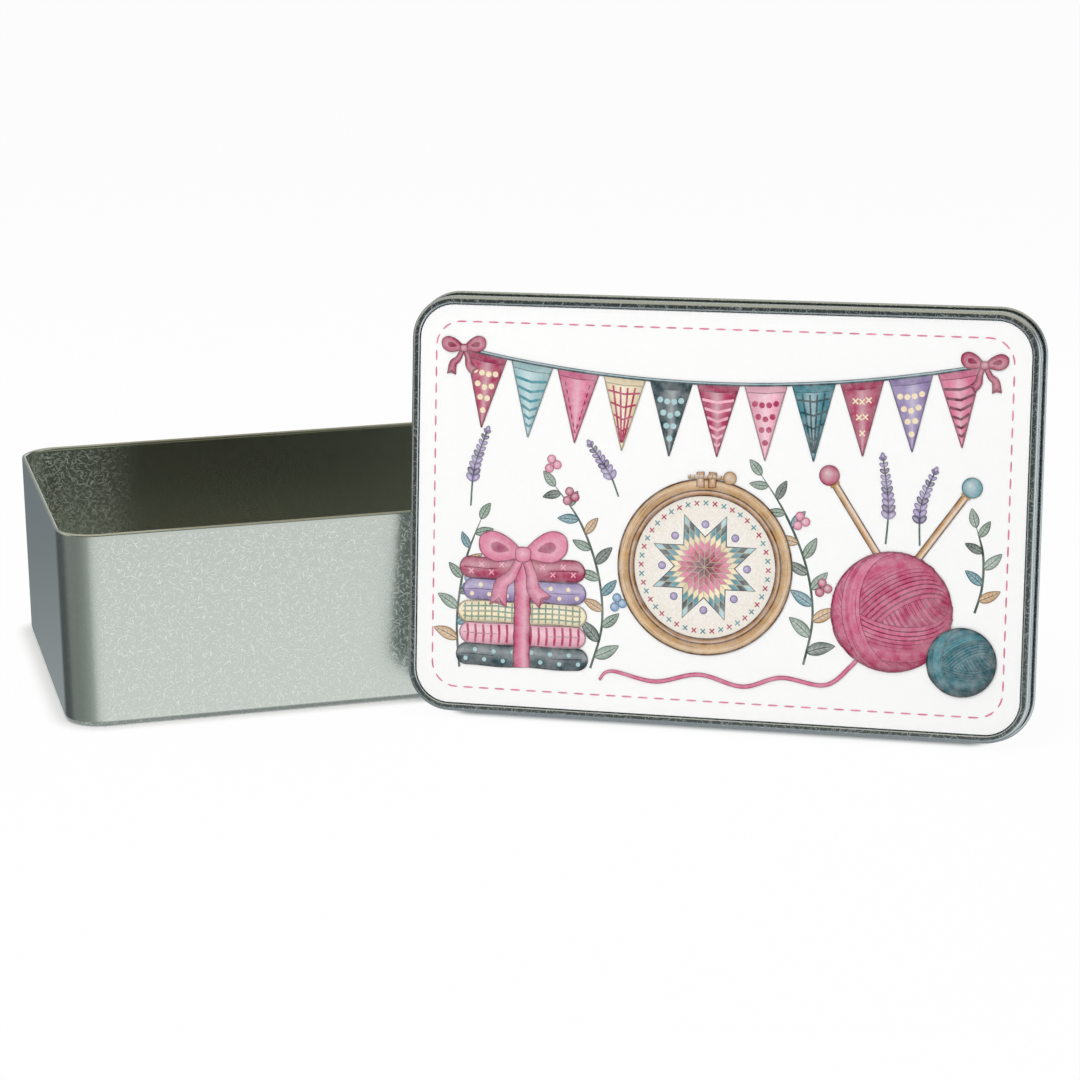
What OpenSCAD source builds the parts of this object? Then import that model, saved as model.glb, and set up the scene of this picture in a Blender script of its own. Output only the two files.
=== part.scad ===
// Slip-lid tin for sewing things, drawn from two sheets of tinplate.
// The tin stands open and its lid, taken off, leans on the tin's front rim.
// Origin: the middle of the tin's underside. +X runs along the tin,
// the tin's front wall faces -Y and +Z is up.

/* [Tin] */
// Outside length of the tin's walls
tin_length = 196.4; // [130:0.2:300]
// Outside width of the tin's walls
tin_width = 131.2; // [80:0.2:220]
// Height of the tin, over its rolled rim
tin_height = 63.4; // [40:0.2:120]
// Outside radius of the tin's upright corners
corner_radius = 12.8; // [8:0.2:30]
// Outside radius where the walls turn into the floor
floor_radius = 2.2; // [1:0.1:5]
// Thickness of the tinplate, in the tin and in the lid
sheet = 0.3; // [0.2:0.05:0.4]
// Outside diameter of the roll that the rim turns inwards
rim_roll = 1.4; // [1.2:0.1:2.4]

/* [Floor bead] */
// Distance from the walls to the middle of the stiffening bead in the floor
bead_inset = 13; // [9:0.5:24]
// Width of the bead
bead_width = 4; // [3:0.5:8]
// Height of the bead over the floor
bead_height = 0.8; // [0.4:0.1:1.4]
// Radius of the bead's corners, along its middle
bead_corner = 9; // [5:0.5:18]

/* [Lid] */
// Depth of the lid, from its open edge to the top of its raised frame
lid_depth = 10; // [7:0.5:24]
// Clearance between the tin's walls and the lid's skirt, on each side
lid_clearance = 0.5; // [0.3:0.1:1]
// Outside diameter of the roll that the lid's open edge turns outwards
lid_roll = 1.5; // [1:0.1:2]
// Width of the raised frame round the top
frame_width = 2.4; // [2:0.1:6]
// Outside radius of the fold between the skirt and the frame
frame_fold = 1.2; // [0.5:0.1:2]
// Outside radius of the fold between the frame and the recess
recess_fold = 0.5; // [0.4:0.1:1]
// Depth of the recess inside the frame
recess_depth = 1.3; // [1:0.1:2.4]
// Radius where the frame's inner side meets the recess
recess_corner = 0.3; // [0.1:0.05:0.4]

/* [Printed panel] */
// Thickness of the printed panel
panel_thickness = 0.5; // [0.3:0.1:0.8]
// Gap between the panel's edge and the frame
panel_gap = 0.4; // [0.3:0.1:2]
// Thickness of the adhesive film under the panel
film_thickness = 0.15; // [0.1:0.05:0.3]
// Distance from the panel's edge to the film's edge
film_inset = 1.5; // [0.5:0.5:6]
// Gap left on each face of the film, in the lid and under the panel
film_seat = 0.02; // [0.01:0.01:0.05]

/* [Lid taken off] */
// How far the lid leans back, in degrees
lid_lean = 7.8; // [6:0.1:14]
// How far the lid is turned out from the tin's front wall, in degrees
lid_turn = 28.7; // [5:0.1:45]
// Where the lid's end touches the tin's front rim, from the rim's middle
touch_place = 16.5; // [-40:0.5:40]
// Gap left between the lid's edge and the rim that it leans on
touch_gap = 0.3; // [0.2:0.1:1]

/* [Hidden] */
$fn = 96;
// Facets to a full turn in the small bends of the sheet
bend_fn = 32;
// How far a flat plate runs into the section round it
lap = 0.5;
// The least straight stretch of sheet between two folds
between = 0.1;

inner_fold = min(recess_fold, frame_width / 2 - between, recess_depth - recess_corner - between);
outer_fold = min(frame_fold, frame_width - inner_fold - between);
rim_r = rim_roll / 2;
roll_r = lid_roll / 2;

lid_grow = lid_clearance + sheet;
lid_length = tin_length + 2 * lid_grow;
lid_width = tin_width + 2 * lid_grow;
lid_corner = corner_radius + lid_grow;

recess_inset = frame_width;
recess_top = lid_depth - recess_depth;
panel_inset = recess_inset + panel_gap;
film_base = recess_top + film_seat;
panel_base = film_base + film_thickness + film_seat;

// The bead is an arch of sheet. This is its outer radius and its centre's height.
bead_r = (pow(bead_width / 2, 2) + pow(bead_height, 2)) / (2 * bead_height);
bead_z = sheet + bead_height - bead_r;

// The middle of the lid's roll, out from the lid's centre lines
roll_x = lid_length / 2 - sheet + roll_r;
roll_y = lid_width / 2 - sheet + roll_r;

// The lid stands on the roll of its lower long edge
lid_z = roll_y * cos(lid_lean) - roll_r * sin(lid_lean) + roll_r;

// The roll at the lid's end lies touch_gap clear of the rim's roll: the gap
// between two round bars that cross, one upright and leaning, one level
cross = sqrt(pow(cos(lid_lean), 2) + pow(cos(lid_turn) * sin(lid_lean), 2));
reach = cross * (roll_r + rim_r + touch_gap);
end_z = lid_z + roll_r * sin(lid_lean);
rim_z = tin_height - rim_r;
rim_y = -tin_width / 2 + rim_r;
end_y = rim_y - (reach + (rim_z - end_z) * cos(lid_turn) * sin(lid_lean)) / cos(lid_lean);
lid_y = end_y - roll_x * sin(lid_turn) + roll_r * cos(lid_lean) * cos(lid_turn);

// How far behind the lid's middle line the touching point lies, and its place
touch_back = (rim_z - end_z) * tan(lid_lean) - roll_r * cos(lid_lean);
lid_x = touch_place + roll_x * cos(lid_turn) - touch_back * sin(lid_turn);

// A flat plate with rounded corners
module rounded_rectangle(length, width, radius) {
    square([length, width - 2 * radius], center = true);
    square([length - 2 * radius, width], center = true);
    for (x = [-1, 1], y = [-1, 1])
        translate([x * (length / 2 - radius), y * (width / 2 - radius)])
            circle(radius);
}

// Carries a section round a rounded rectangle. In the section, x = 0 lies
// on the rectangle's outline, -x points to the middle and y is the height.
module carry_round(length, width, radius) {
    for (side = [0, 90, 180, 270]) {
        level = side % 180 == 0;
        out = level ? length / 2 : width / 2;
        run = (level ? width : length) - 2 * radius;
        rotate([90, 0, side])
            linear_extrude(run, center = true)
                translate([out, 0]) children();
    }
    for (corner = [[1, 1], [-1, 1], [-1, -1], [1, -1]]) {
        turned = corner[1] > 0 ? (corner[0] > 0 ? 0 : 90) : (corner[0] > 0 ? 270 : 180);
        translate([corner[0] * (length / 2 - radius), corner[1] * (width / 2 - radius), 0])
            rotate(turned)
                rotate_extrude(angle = 90)
                    translate([radius, 0]) children();
    }
}

// A quarter turn of sheet, from the direction "start" round to start + 90
module bend(outside, start) {
    rotate(start)
        intersection() {
            difference() {
                circle(outside, $fn = bend_fn);
                circle(outside - sheet, $fn = bend_fn);
            }
            square(outside + 1);
        }
}

// Three quarters of a turn of sheet, left open at the quarter from "open"
module roll(outside, open) {
    difference() {
        circle(outside, $fn = bend_fn);
        circle(outside - sheet, $fn = bend_fn);
        rotate(open) square(outside + 1);
    }
}

// The tin's sheet in section: rolled rim, wall and the turn into the floor
module tin_section() {
    translate([-rim_r, tin_height - rim_r])
        roll(rim_r, 270);
    translate([-sheet, floor_radius])
        square([sheet, tin_height - rim_r - floor_radius]);
    translate([-floor_radius, floor_radius])
        bend(floor_radius, 270);
    translate([-floor_radius - 2 * lap, 0])
        square([2 * lap, sheet]);
}

// The floor, with the groove that the bead leaves in its underside
module floor_sheet() {
    inset = floor_radius + lap;
    linear_extrude(sheet)
        rounded_rectangle(tin_length - 2 * inset, tin_width - 2 * inset, corner_radius - inset);
}

module bead_path() {
    carry_round(tin_length - 2 * bead_inset, tin_width - 2 * bead_inset, bead_corner)
        children();
}

module bead_section(outside) {
    intersection() {
        translate([0, bead_z]) circle(outside);
        translate([-bead_width, 0]) square([2 * bead_width, 2 * bead_height]);
    }
}

module tin_base() {
    color([0.60, 0.63, 0.60])
        difference() {
            union() {
                carry_round(tin_length, tin_width, corner_radius) tin_section();
                floor_sheet();
                bead_path() bead_section(bead_r);
            }
            bead_path() translate([0, bead_z]) circle(bead_r - sheet);
        }
}

// The lid's sheet in section, as it lies on the tin: rolled open edge, skirt,
// raised frame and the start of the recess
module lid_section() {
    translate([roll_r - sheet, roll_r])
        roll(roll_r, 90);
    translate([-sheet, roll_r])
        square([sheet, lid_depth - outer_fold - roll_r]);
    translate([-outer_fold, lid_depth - outer_fold])
        bend(outer_fold, 0);
    translate([-frame_width + inner_fold, lid_depth - sheet])
        square([frame_width - inner_fold - outer_fold, sheet]);
    translate([-frame_width + inner_fold, lid_depth - inner_fold])
        bend(inner_fold, 90);
    translate([-frame_width, recess_top + recess_corner])
        square([sheet, recess_depth - inner_fold - recess_corner]);
    translate([-frame_width - recess_corner, recess_top + recess_corner])
        bend(recess_corner + sheet, 270);
    translate([-frame_width - recess_corner - 2 * lap, recess_top - sheet])
        square([2 * lap, sheet]);
}

// A plate that lies in the lid, "inset" in from its outline
module lid_plate(inset, bottom, thickness) {
    translate([0, 0, bottom])
        linear_extrude(thickness)
            rounded_rectangle(lid_length - 2 * inset, lid_width - 2 * inset, lid_corner - inset);
}

// Stands what is drawn as it lies on the tin where the lid leans, taken off
module taken_off() {
    translate([lid_x, lid_y, lid_z])
        rotate([90 - lid_lean, 0, -lid_turn])
            children();
}

module lid() {
    color([0.47, 0.51, 0.49])
        taken_off() {
            carry_round(lid_length, lid_width, lid_corner) lid_section();
            lid_plate(recess_inset + recess_corner + lap, recess_top - sheet, sheet);
        }
}

module panel_adhesive() {
    color([0.87, 0.86, 0.82])
        taken_off()
            lid_plate(panel_inset + film_inset, film_base, film_thickness);
}

module print_panel() {
    color([0.97, 0.97, 0.96])
        taken_off()
            lid_plate(panel_inset, panel_base, panel_thickness);
}

tin_base();
lid();
print_panel();
panel_adhesive();
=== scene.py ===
import random
import bmesh
import bpy
from math import atan2, cos, hypot, pi, radians, sin, sqrt
from mathutils import Matrix, Vector


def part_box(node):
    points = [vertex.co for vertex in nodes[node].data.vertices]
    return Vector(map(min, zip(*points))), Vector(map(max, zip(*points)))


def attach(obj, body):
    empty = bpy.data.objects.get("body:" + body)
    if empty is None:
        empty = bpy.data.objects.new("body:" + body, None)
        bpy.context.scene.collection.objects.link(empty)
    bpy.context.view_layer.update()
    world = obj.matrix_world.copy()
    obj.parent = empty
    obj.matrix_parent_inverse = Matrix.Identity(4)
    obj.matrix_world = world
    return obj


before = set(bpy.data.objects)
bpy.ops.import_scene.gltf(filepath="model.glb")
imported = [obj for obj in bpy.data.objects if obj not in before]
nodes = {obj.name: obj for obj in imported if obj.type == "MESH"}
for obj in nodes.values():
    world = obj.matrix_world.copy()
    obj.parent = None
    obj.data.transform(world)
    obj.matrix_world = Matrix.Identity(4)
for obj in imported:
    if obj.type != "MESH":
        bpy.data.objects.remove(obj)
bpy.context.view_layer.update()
print("frame loaded:", sorted(nodes))

# How the lid stands: its own frame has x along it, y across it and z out of its printed face
lidStand = {"lean": radians(7.8), "turn": radians(28.7)}
tinCorner = 0.0128  # outside radius of the tin's upright corners


def hexColour(text):
    parts = [int(text[i:i + 2], 16) / 255 for i in (0, 2, 4)]
    linear = [p / 12.92 if p <= 0.04045 else ((p + 0.055) / 1.055) ** 2.4 for p in parts]
    return (*linear, 1.0)


def addObject(name, data):
    item = bpy.data.objects.new(name, data)
    bpy.context.scene.collection.objects.link(item)
    return item


def lidFrame():
    turned = Matrix.Rotation(-lidStand["turn"], 4, "Z")
    leaned = Matrix.Rotation(pi / 2 - lidStand["lean"], 4, "X")
    place = turned @ leaned
    # the printed panel's middle is the lid's middle, so its box gives the place
    low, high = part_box("print_panel")
    corners = [place.inverted() @ v.co for v in nodes["print_panel"].data.vertices]
    spans = [[corner[axis] for corner in corners] for axis in range(3)]
    half = Vector([(max(span) - min(span)) / 2 for span in spans])
    return Matrix.Translation((low + high) / 2) @ place, half


lidMatrix, panelHalf = lidFrame()

# Camera

cameraView = {
    "place": (-0.1880, -1.0314, 0.3082),
    "heading": radians(14.27),  # to the right of +Y
    "down": radians(14.51),
    "roll": radians(0.90),
    "lens": 105.1,
}


def setCamera():
    heading, down, roll = (cameraView[k] for k in ("heading", "down", "roll"))
    ahead = Vector((sin(heading) * cos(down),
                    cos(heading) * cos(down), -sin(down)))
    level = Vector((cos(heading), -sin(heading), 0))
    above = level.cross(ahead)
    right = level * cos(roll) - above * sin(roll)
    up = above * cos(roll) + level * sin(roll)
    turn = Matrix((right, up, -ahead)).transposed().to_4x4()
    data = bpy.data.cameras.new("camera")
    data.sensor_fit = "HORIZONTAL"
    data.sensor_width = 36
    data.lens = cameraView["lens"]
    data.clip_start = 0.01
    camera = addObject("camera", data)
    camera.matrix_world = Matrix.Translation(cameraView["place"]) @ turn
    bpy.context.scene.camera = camera


setCamera()
print("camera set")

# Nodes: what the materials and the studio are built with


def addNode(tree, kind, inputs, **settings):
    # An input, by name or by number, takes a plain value or another node's output
    node = tree.nodes.new("ShaderNode" + kind)
    for title, value in settings.items():
        setattr(node, title, value)
    for title, value in inputs.items():
        feed(tree, node.inputs[title], value)
    return node


def feed(tree, socket, value):
    if isinstance(value, bpy.types.NodeSocket):
        tree.links.new(value, socket)
    else:
        socket.default_value = value


def mathNode(tree, operation, *values):
    return addNode(tree, "Math", dict(enumerate(values)), operation=operation).outputs[0]


def product(tree, first, *others):
    for value in others:
        first = mathNode(tree, "MULTIPLY", first, value)
    return first


def vectorNode(tree, operation, *values):
    return addNode(tree, "VectorMath", dict(enumerate(values)), operation=operation).outputs


def splitNode(tree, vector):
    return addNode(tree, "SeparateXYZ", {"Vector": vector}).outputs


def mixNumbers(tree, factor, first, second):
    return addNode(tree, "Mix", {"Factor": factor, "A": first, "B": second}).outputs["Result"]


def mixColours(tree, factor, first, second, blend="MIX"):
    node = addNode(tree, "Mix", {"Factor": factor}, data_type="RGBA", blend_type=blend)
    for socket, value in zip([s for s in node.inputs if s.type == "RGBA"], (first, second)):
        feed(tree, socket, value)
    return [s for s in node.outputs if s.type == "RGBA"][0]


def mixShaders(tree, factor, first, second):
    return addNode(tree, "MixShader", {"Fac": factor, 1: first.outputs[0], 2: second.outputs[0]})


def rangeNode(tree, value, fromMin, fromMax, toMin=0.0, toMax=1.0, smooth=True):
    inputs = {"Value": value, "From Min": fromMin, "From Max": fromMax,
              "To Min": toMin, "To Max": toMax}
    easing = "SMOOTHSTEP" if smooth else "LINEAR"
    return addNode(tree, "MapRange", inputs, interpolation_type=easing).outputs[0]


def noiseNode(tree, vector, scale, detail, rough=0.5):
    inputs = {"Vector": vector, "Scale": scale, "Detail": detail, "Roughness": rough}
    return addNode(tree, "TexNoise", inputs).outputs["Fac"]


def rampNode(tree, value, stops):
    ramp = addNode(tree, "ValToRGB", {"Fac": value})
    ramp.color_ramp.interpolation = "EASE"
    band = ramp.color_ramp.elements
    while len(band) < len(stops):
        band.new(0.5)
    for element, (place, text) in zip(band, stops):
        element.position = place
        element.color = hexColour(text)
    return ramp.outputs["Color"]


def newGroup(name, vectors, numbers, result):
    group = bpy.data.node_groups.new(name, "ShaderNodeTree")
    for titles, kind in ((vectors, "NodeSocketVector"), (numbers, "NodeSocketFloat")):
        for title in titles:
            group.interface.new_socket(title, in_out="INPUT", socket_type=kind)
    group.interface.new_socket(result, in_out="OUTPUT", socket_type="NodeSocketFloat")
    given = group.nodes.new("NodeGroupInput").outputs
    made = group.nodes.new("NodeGroupOutput").inputs[result]
    return group, given, made


def placeGroup(tree, group, **inputs):
    titled = {title.replace("_", " "): value for title, value in inputs.items()}
    return addNode(tree, "Group", titled, node_tree=group).outputs[0]


def newMaterial(name):
    material = bpy.data.materials.new(name)
    material.use_nodes = True
    tree = material.node_tree
    tree.nodes.clear()
    return material, tree, addNode(tree, "TexCoord", {}).outputs


def finishSurface(tree, shader):
    addNode(tree, "OutputMaterial", {"Surface": shader.outputs[0]})


def finishPlain(tree, colour, rough, **others):
    inputs = {"Base Color": colour, "Roughness": rough, **others}
    finishSurface(tree, addNode(tree, "BsdfPrincipled", inputs))


def buildRoundedEdge():
    # How far a point lies outside a rounded rectangle round the origin, less than 0 inside it
    group, given, made = newGroup(
        "roundedEdge", ("Vector",), ("Half X", "Half Y", "Corner"), "Distance")
    place = splitNode(group, given["Vector"])
    past = []
    for axis in ("X", "Y"):
        straight = mathNode(group, "SUBTRACT", given["Half " + axis], given["Corner"])
        away = mathNode(group, "ABSOLUTE", place[axis])
        past.append(mathNode(group, "SUBTRACT", away, straight))
    squares = [mathNode(group, "POWER", mathNode(group, "MAXIMUM", p, 0.0), 2.0) for p in past]
    outside = mathNode(group, "SQRT", mathNode(group, "ADD", *squares))
    within = mathNode(group, "MINIMUM", mathNode(group, "MAXIMUM", *past), 0.0)
    total = mathNode(group, "ADD", outside, within)
    feed(group, made, mathNode(group, "SUBTRACT", total, given["Corner"]))
    return group


roundedEdge = buildRoundedEdge()


def fromTin(tree, place):
    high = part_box("tin_base")[1]
    return placeGroup(tree, roundedEdge, Vector=place, Half_X=high.x, Half_Y=high.y,
                      Corner=tinCorner)


# Studio: a white floor, a soft lamp overhead and a soft fill from the front

studio = {
    "floorSize": 12.0,
    "floorColour": (0.92, 0.92, 0.92, 1),
    # share of plain white that the camera sees on the floor, by the tin and lid and farther off
    "glow": (0.0, 0.95),
    "shadowReach": 0.0065,
    # where the lid stands, from the foot of its panel
    "lidShadow": {"back": 0.011, "half": 0.003, "ends": 0.014},
    "topLamp": {"place": (-0.35, -0.35, 1.5), "size": 1.3, "power": 13},
    "fillLamp": {"place": (-0.95, -1.3, 0.9), "size": 1.0, "power": 9},
    "lampTarget": (0.05, -0.05, 0.05),
    "ambient": 0.42,
    # What polished metal reflects, from behind (0) round to the front right (1): the floor
    # close by and straight below, then bands upwards from where each begins to where it is full
    "frontRight": (0.40, -0.9165, 0),
    "closeBy": ((0.0, "ADB2B6"), (0.27, "858A8C"), (0.42, "878D89"), (0.60, "9AA09C"),
                (0.76, "B4B8B4"), (0.84, "F2F4F2"), (0.90, "FFFFFF")),
    "below": {"heights": (-0.55, -0.75), "colour": "A2A7A8"},
    "bands": (
        {"heights": (-0.31, -0.23),
         "stops": ((0.0, "7C848A"), (0.27, "787E81"), (0.42, "7E8481"), (0.60, "8E9490"),
                   (0.76, "A8ADA8"), (0.84, "DADEDA"), (0.92, "F6F8F6"))},
        {"heights": (-0.20, -0.08),
         "stops": ((0.0, "8E9498"), (0.07, "A9ABA6"), (0.12, "E4DECE"), (0.30, "D2CDBF"),
                   (0.48, "6E6F6A"), (0.70, "34393B"), (0.86, "4A4E4E"), (1.0, "6E7270"))},
        {"heights": (0.35, 0.75),
         "stops": ((0.0, "BDBFBF"), (0.30, "CDC8BA"), (0.65, "D6CFB9"), (1.0, "B4AE9B"))},
    ),
    "patches": (
        {"toward": (0.66, 0.71, -0.25), "reach": (0.75, 0.92), "colour": "F4F7FA"},
        {"toward": (-0.75, 0.62, -0.23), "reach": (0.86, 0.97), "colour": "565A5C"},
        {"toward": (0.75, -0.66, 0.0), "reach": (0.82, 0.92), "colour": "FFFFFF"},
    ),
}


def addLamp(name):
    values = studio[name]
    data = bpy.data.lights.new(name, "AREA")
    data.shape = "SQUARE"
    data.size = values["size"]
    data.energy = values["power"]
    lamp = addObject(name, data)
    place = Vector(values["place"])
    turn = (place - Vector(studio["lampTarget"])).to_track_quat("Z", "Y").to_matrix().to_4x4()
    lamp.matrix_world = Matrix.Translation(place) @ turn
    lamp.visible_glossy = False


def lidFoot():
    # The middle of the edge that the lid stands on, behind the foot of its panel
    down = lidMatrix.to_3x3() @ Vector((0, -1, 0))
    middle = lidMatrix.translation
    back = Vector((0, studio["lidShadow"]["back"], 0))
    behind = Matrix.Rotation(-lidStand["turn"], 3, "Z") @ back
    return tuple(middle - down * (middle.z / down.z) + behind)


def buildFloor():
    half = studio["floorSize"] / 2
    corners = [(-half, -half, 0), (half, -half, 0), (half, half, 0), (-half, half, 0)]
    mesh = bpy.data.meshes.new("floor")
    mesh.from_pydata(corners, [], [(0, 1, 2, 3)])
    floor = addObject("floor", mesh)
    floor.visible_glossy = False  # the metal reflects the world's own pale floor instead
    material, tree, where = newMaterial("floorWhite")
    stand = {"Vector": where["Object"], "Location": lidFoot(),
             "Rotation": (0, 0, -lidStand["turn"])}
    byLid = addNode(tree, "Mapping", stand, vector_type="TEXTURE").outputs[0]
    shade = studio["lidShadow"]
    fromLid = placeGroup(tree, roundedEdge, Vector=byLid, Half_X=panelHalf.x - shade["ends"],
                         Half_Y=shade["half"], Corner=shade["half"])
    nearest = mathNode(tree, "MINIMUM", fromTin(tree, where["Object"]), fromLid)
    glow = rangeNode(tree, nearest, 0.0, studio["shadowReach"], *studio["glow"])
    path = addNode(tree, "LightPath", {}).outputs
    diffuse = addNode(tree, "BsdfDiffuse", {"Color": studio["floorColour"]})
    white = addNode(tree, "Emission", {})
    share = product(tree, path["Is Camera Ray"], glow)
    finishSurface(tree, mixShaders(tree, share, diffuse, white))
    mesh.materials.append(material)


def buildWorld():
    world = bpy.data.worlds.new("studio")
    world.use_nodes = True
    bpy.context.scene.world = world
    tree = world.node_tree
    tree.nodes.clear()
    toward = addNode(tree, "TexCoord", {}).outputs["Generated"]
    height = splitNode(tree, toward)["Z"]
    front = vectorNode(tree, "DOT_PRODUCT", toward, studio["frontRight"])["Value"]
    front = rangeNode(tree, front, -1.0, 1.0, smooth=False)
    colour = rampNode(tree, front, studio["closeBy"])
    below = rangeNode(tree, height, *studio["below"]["heights"])
    colour = mixColours(tree, below, colour, hexColour(studio["below"]["colour"]))
    for band in studio["bands"]:
        share = rangeNode(tree, height, *band["heights"])
        colour = mixColours(tree, share, colour, rampNode(tree, front, band["stops"]))
    for patch in studio["patches"]:
        beside = vectorNode(tree, "DOT_PRODUCT", toward, patch["toward"])["Value"]
        share = rangeNode(tree, beside, *patch["reach"])
        colour = mixColours(tree, share, colour, hexColour(patch["colour"]))
    white = (1, 1, 1, 1)
    ambient = addNode(tree, "Background", {"Color": white, "Strength": studio["ambient"]})
    mirrored = addNode(tree, "Background", {"Color": colour})
    seen = addNode(tree, "Background", {"Color": white})
    path = addNode(tree, "LightPath", {}).outputs
    lit = mixShaders(tree, path["Is Glossy Ray"], ambient, mirrored)
    final = mixShaders(tree, path["Is Camera Ray"], lit, seen)
    addNode(tree, "OutputWorld", {"Surface": final.outputs[0]})


buildWorld()
addLamp("topLamp")
addLamp("fillLamp")
buildFloor()
bpy.context.scene.view_settings.view_transform = "Standard"
print("studio built")

# Tinplate

tinplate = {
    "sheet": hexColour("D0D7D0"),
    "lidSheet": hexColour("C8D0D3"),
    # painted shade: the colour of the inside away from its ends, darker than the sheet
    "smoothShadedInside": hexColour("B0B2A8"),
    "fleck": hexColour("F4FBF7"),
    # how far flecks lose their mirror look
    "fleckScatter": {"inside": 0.55, "outside": 0.42, "onLid": 0.30},
    "roughness": 0.25,
    "fleckRoughness": 0.45,
    "outside": 1.0,  # strength of the flecks on the tin's outer walls
    "onLid": 0.50,
    "bump": {"strength": 0.3, "depth": 0.00004},
    # Flecks: size of a cell in metres, then each layer's shift and its share of that size
    "cell": 0.0031,
    "layers": (((0, 0, 0), 1.0), ((0.37, 0.11, 0), 0.83), ((0.71, 0.83, 0), 0.69),
               ((0.19, 0.57, 0), 0.57)),
    # one fleck's stroke, in shares of its cell, from where it begins to fade to where it ends
    "strokeAcross": (0.03, 0.10),
    "strokeAlong": (0.16, 0.42),
    "strokeBow": 2.2,
    "faintest": 0.25,
}

# Where the tinplate is drawn smooth, in metres from the tin's ends, its top or its underside
smoothing = {
    "insideEnds": (0.045, 0.026),  # farther from the ends the inside is drawn smooth and painted darker, as shade
    "insideFloor": (0.002, 0.010),  # below this the inside keeps most of its flecks and less of the painted shade
    "floorShare": 0.35,
    "outsideEnds": (0.014, 0.008),
    "rim": (0.0022, 0.0014),
    "foot": (0.0016, 0.0026),
    "kept": 0.08,  # strength of the flecks where the sheet is smooth
    "fadeEnds": (0.042, 0.004),  # inside, the flecks fade away from the ends
    "fadeShare": 0.35,
    "face": (0.0001, 0.0002),  # depth in the sheet at which the inner face begins
    "lidFlat": (0.90, 0.985),  # the lid's folds and rolls, by how squarely a place faces one side
    "lidKept": 0.1,
}


def buildFlecks():
    # Short curved strokes at random angles, one to a cell, in four layers. The surface is taken
    # from the side that it faces, so that strokes lie in the sheet on walls, floor and ends.
    group, given, made = newGroup("tinFlecks", ("Vector", "Normal"), ("Cell",), "Flecks")
    place = splitNode(group, given["Vector"])
    side = splitNode(group, vectorNode(group, "ABSOLUTE", given["Normal"])["Vector"])
    toEnd = mathNode(group, "GREATER_THAN", side["X"], side["Y"])
    widest = mathNode(group, "MAXIMUM", side["X"], side["Y"])
    toTop = mathNode(group, "GREATER_THAN", side["Z"], widest)
    wall = mixNumbers(group, toEnd, place["X"], place["Y"])
    level = mixNumbers(group, toTop, wall, place["X"])
    upward = mixNumbers(group, toTop, place["Z"], place["Y"])
    flat = addNode(group, "CombineXYZ", {"X": level, "Y": upward}).outputs[0]
    layers = []
    for shift, size in tinplate["layers"]:
        cell = product(group, given["Cell"], size)
        moved = vectorNode(group, "ADD", flat, shift)["Vector"]
        scale = mathNode(group, "DIVIDE", 1.0, cell)
        points = addNode(group, "TexVoronoi", {}, voronoi_dimensions="2D")
        feed(group, points.inputs["Vector"], moved)
        feed(group, points.inputs["Scale"], scale)
        draw = addNode(group, "SeparateColor", {"Color": points.outputs["Color"]}).outputs
        local = vectorNode(group, "SUBTRACT", moved, points.outputs["Position"])["Vector"]
        turn = {"Vector": local, "Angle": product(group, draw["Red"], 2 * pi)}
        turned = addNode(group, "VectorRotate", turn, rotation_type="Z_AXIS").outputs[0]
        stroke = splitNode(group, turned)
        along = mathNode(group, "DIVIDE", stroke["X"], cell)
        across = mathNode(group, "DIVIDE", stroke["Y"], cell)
        bend = mathNode(group, "SUBTRACT", draw["Blue"], 0.5)
        bow = product(group, along, along, bend, tinplate["strokeBow"])
        across = mathNode(group, "ABSOLUTE", mathNode(group, "ADD", across, bow))
        along = mathNode(group, "ABSOLUTE", along)
        thin = rangeNode(group, across, *tinplate["strokeAcross"], 1.0, 0.0)
        short = rangeNode(group, along, *tinplate["strokeAlong"], 1.0, 0.0)
        shine = rangeNode(group, draw["Green"], 0.0, 1.0, tinplate["faintest"], 1.0, smooth=False)
        layers.append(product(group, thin, short, shine))
    total = layers[0]
    for layer in layers[1:]:
        total = mathNode(group, "MAXIMUM", total, layer)
    feed(group, made, total)
    return group


flecks = buildFlecks()


def finishMetal(tree, sheet, fleck, scatter):
    rough = rangeNode(tree, fleck, 0.0, 1.0, tinplate["roughness"], tinplate["fleckRoughness"],
                      smooth=False)
    mirror = mathNode(tree, "SUBTRACT", 1.0, product(tree, fleck, scatter))
    relief = {"Strength": tinplate["bump"]["strength"], "Distance": tinplate["bump"]["depth"],
              "Height": fleck}
    bump = addNode(tree, "Bump", relief)
    colour = mixColours(tree, fleck, sheet, tinplate["fleck"])
    finishPlain(tree, colour, rough, Metallic=mirror, Normal=bump.outputs[0])


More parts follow.
